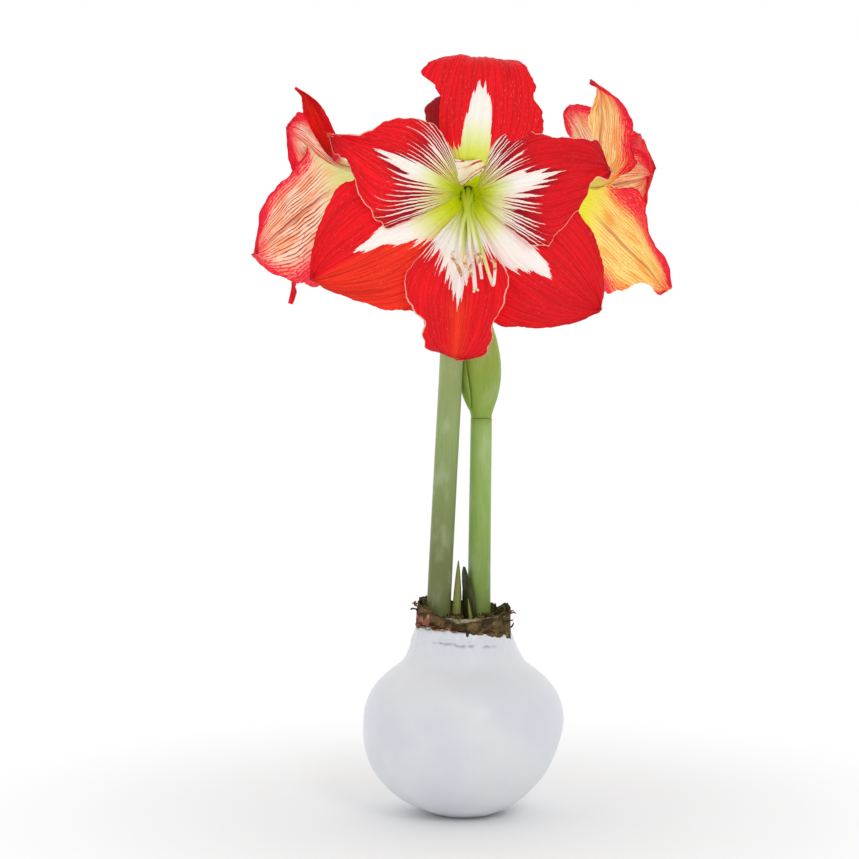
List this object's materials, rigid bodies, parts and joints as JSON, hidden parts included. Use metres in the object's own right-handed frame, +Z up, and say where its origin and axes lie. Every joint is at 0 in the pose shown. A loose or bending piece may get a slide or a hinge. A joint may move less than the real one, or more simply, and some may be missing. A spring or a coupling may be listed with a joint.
{
  "type": "waxed amaryllis bulb in flower",
  "caption": "Amaryllis growing from a bulb dipped in white wax: wide red and white striped blooms on a bare green stalk, with a closed bud on a shorter one.",
  "frame": {"origin": "middle of the flat spot under the wax", "axes": "+X to the right as seen from the front, +Y away from the front bloom, +Z up"},
  "size_m": [0.2153, 0.1624, 0.3951],
  "materials": {
    "white_wax": "satin candle wax",
    "papery_brown": "dry papery scales",
    "stalk_green": "smooth, waxy bloom",
    "stalk_green_young": "smooth, waxy bloom",
    "bud_green": "smooth",
    "leaf_olive": "smooth",
    "leaf_dark": "smooth",
    "sheath_olive": "dull",
    "bract_brown": "dry and papery",
    "petal_red": "velvety petal",
    "filament_cream": "smooth"
  },
  "bodies": {
    "root": {"wax_coat": "white_wax", "bulb": "papery_brown", "scape_in_bloom": "stalk_green", "scape_with_bud": "stalk_green_young", "bud": "bud_green", "leaf_tip_tall": "leaf_olive", "leaf_tip_back": "leaf_dark", "leaf_tip_short": "leaf_olive", "leaf_sheath": "sheath_olive", "spathe_bract_left": "bract_brown", "spathe_bract_back": "bract_brown", "bloom_front": "petal_red", "bloom_left": "petal_red", "bloom_right": "petal_red", "stamens_front": "filament_cream", "stamens_left": "filament_cream", "stamens_right": "filament_cream"}
  },
  "joints": []
}
